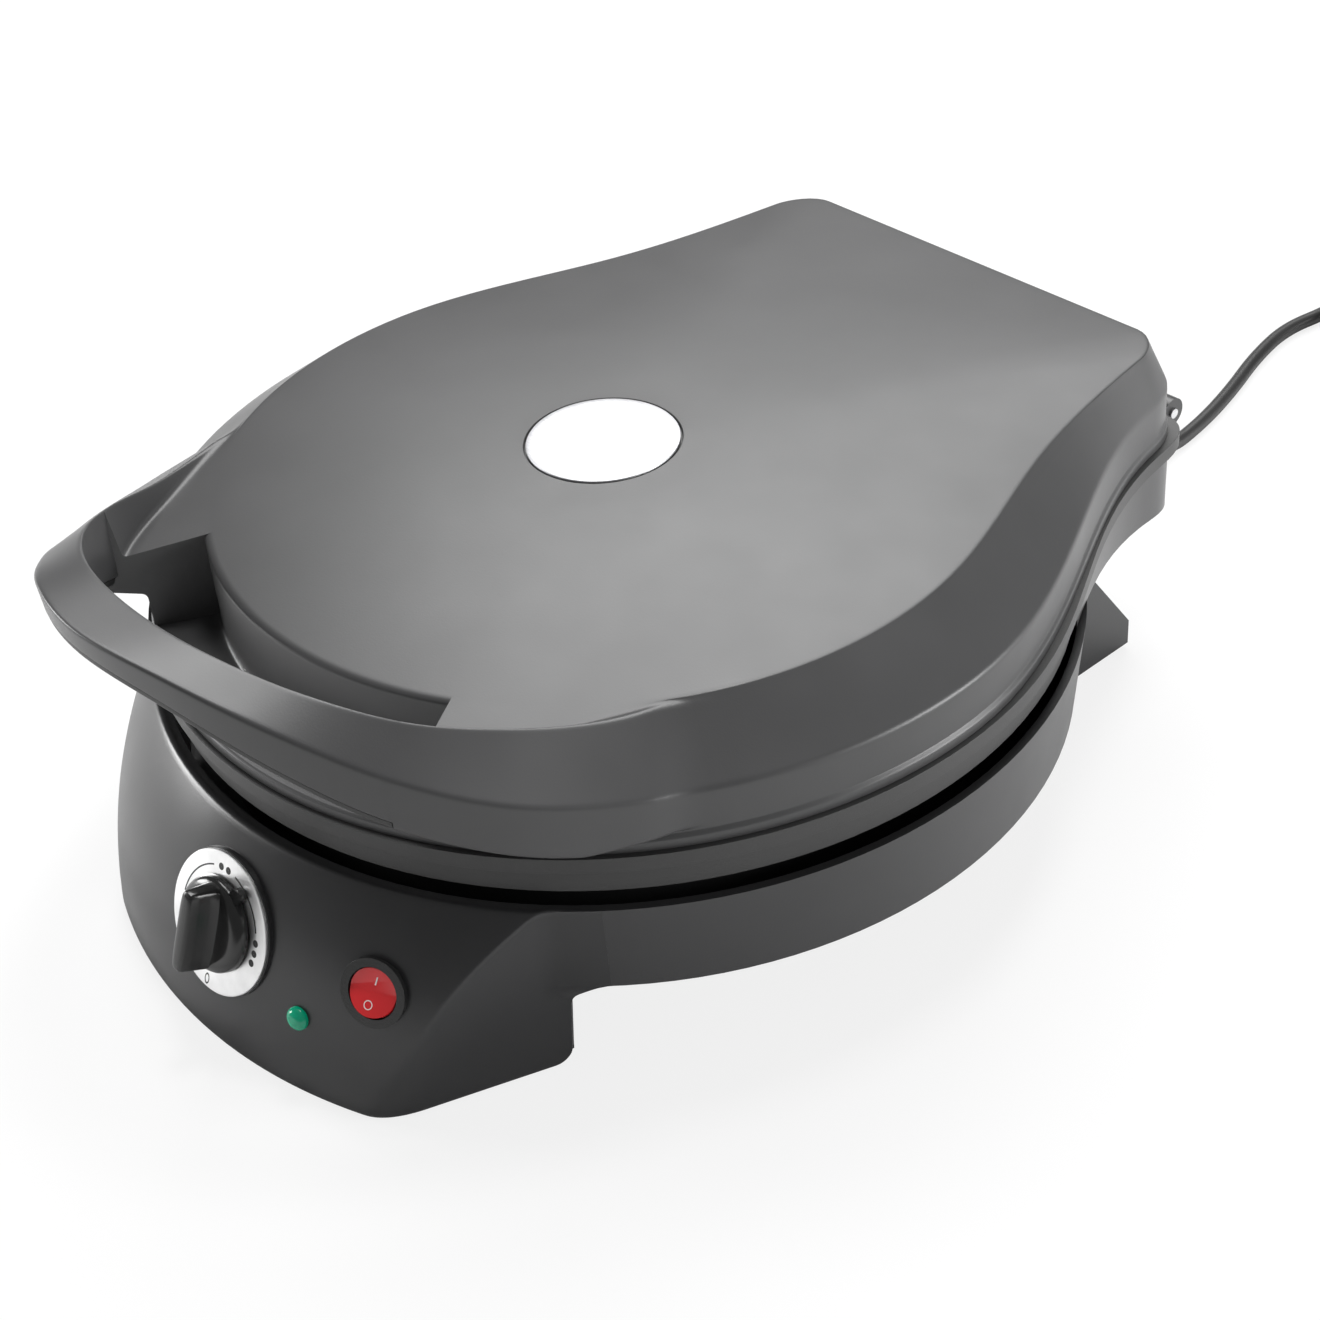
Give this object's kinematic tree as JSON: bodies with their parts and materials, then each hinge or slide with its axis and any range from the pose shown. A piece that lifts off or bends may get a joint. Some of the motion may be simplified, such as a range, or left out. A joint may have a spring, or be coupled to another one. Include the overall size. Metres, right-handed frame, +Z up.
{
  "type": "electric pizza maker",
  "caption": "Round electric pizza maker: hinged lid with a broad looped front handle, dished baking plate over a heating element, and a front console with dial, rocker switch and lamp.",
  "frame": {"origin": "centre of the bounding box's underside on the table, 4.8 mm behind the baking plate's axis", "axes": "+X to the right seen from the front, +Y to the hinge at the back, +Z up"},
  "size_m": [0.34, 0.7357, 0.178],
  "materials": {
    "housing_black": "satin moulded housing",
    "panel_black": "satin console panel",
    "cover_black": "matt inner cover",
    "lid_black": "satin moulded lid",
    "plate_coating": "dark baking stone",
    "tray_metal": "bright sheet",
    "element_metal": "heat-darkened sheath",
    "steel": "brushed",
    "badge_metal": "brushed disc",
    "foot_rubber": "soft",
    "dial_chrome": "polished",
    "rocker_red": "clear red",
    "lamp_green": "clear green",
    "pin_metal": "nickelled",
    "cord_rubber": "smooth sheath"
  },
  "bodies": {
    "base": {"base_shell": "housing_black", "control_panel": "panel_black", "console_floor": "cover_black", "under_cover": "cover_black", "under_screws": "steel", "rear_cover": "cover_black", "rubber_feet": "foot_rubber", "plate_support": "tray_metal", "baking_plate": "plate_coating", "lower_tray": "tray_metal", "lower_element": "element_metal", "lower_clips": "steel", "hinge_pins": "steel", "dial_ring": "dial_chrome", "thermostat": "steel", "switch_body": "cover_black", "lamp_lens": "lamp_green", "lamp_holder": "cover_black", "terminal_block": "cover_black", "thermal_fuse": "steel", "cord_relief": "cord_rubber", "cord": "cord_rubber", "cord_coil": "cord_rubber", "plug_body": "cord_rubber", "plug_pins": "pin_metal"},
    "lid": {"lid_cover": "lid_black", "lid_badge": "badge_metal", "handle_lower_cover": "cover_black", "lid_frame": "cover_black", "lid_screws": "steel", "lid_reflector": "tray_metal", "upper_element": "element_metal", "upper_clips": "steel"},
    "knob": {"knob": "housing_black", "thermostat_shaft": "steel"},
    "rocker": {"rocker": "rocker_red"}
  },
  "joints": [
    {"name": "lid_hinge", "type": "hinge", "parent": "base", "child": "lid", "pos_m": [0, 0.2088, 0.093], "axis": [-1, 0, 0], "range_deg": [0, 100]},
    {"name": "knob_turn", "type": "hinge", "parent": "base", "child": "knob", "pos_m": [0.00788, -0.19285, 0.048], "axis": [0.0388, -0.9257, 0.3762], "range_deg": [-74, 208]},
    {"name": "rocker_tilt", "type": "hinge", "parent": "base", "child": "rocker", "pos_m": [0.07388, -0.17718, 0.0496], "axis": [0.9191, 0.3939, 0], "range_deg": [0, 16]}
  ]
}
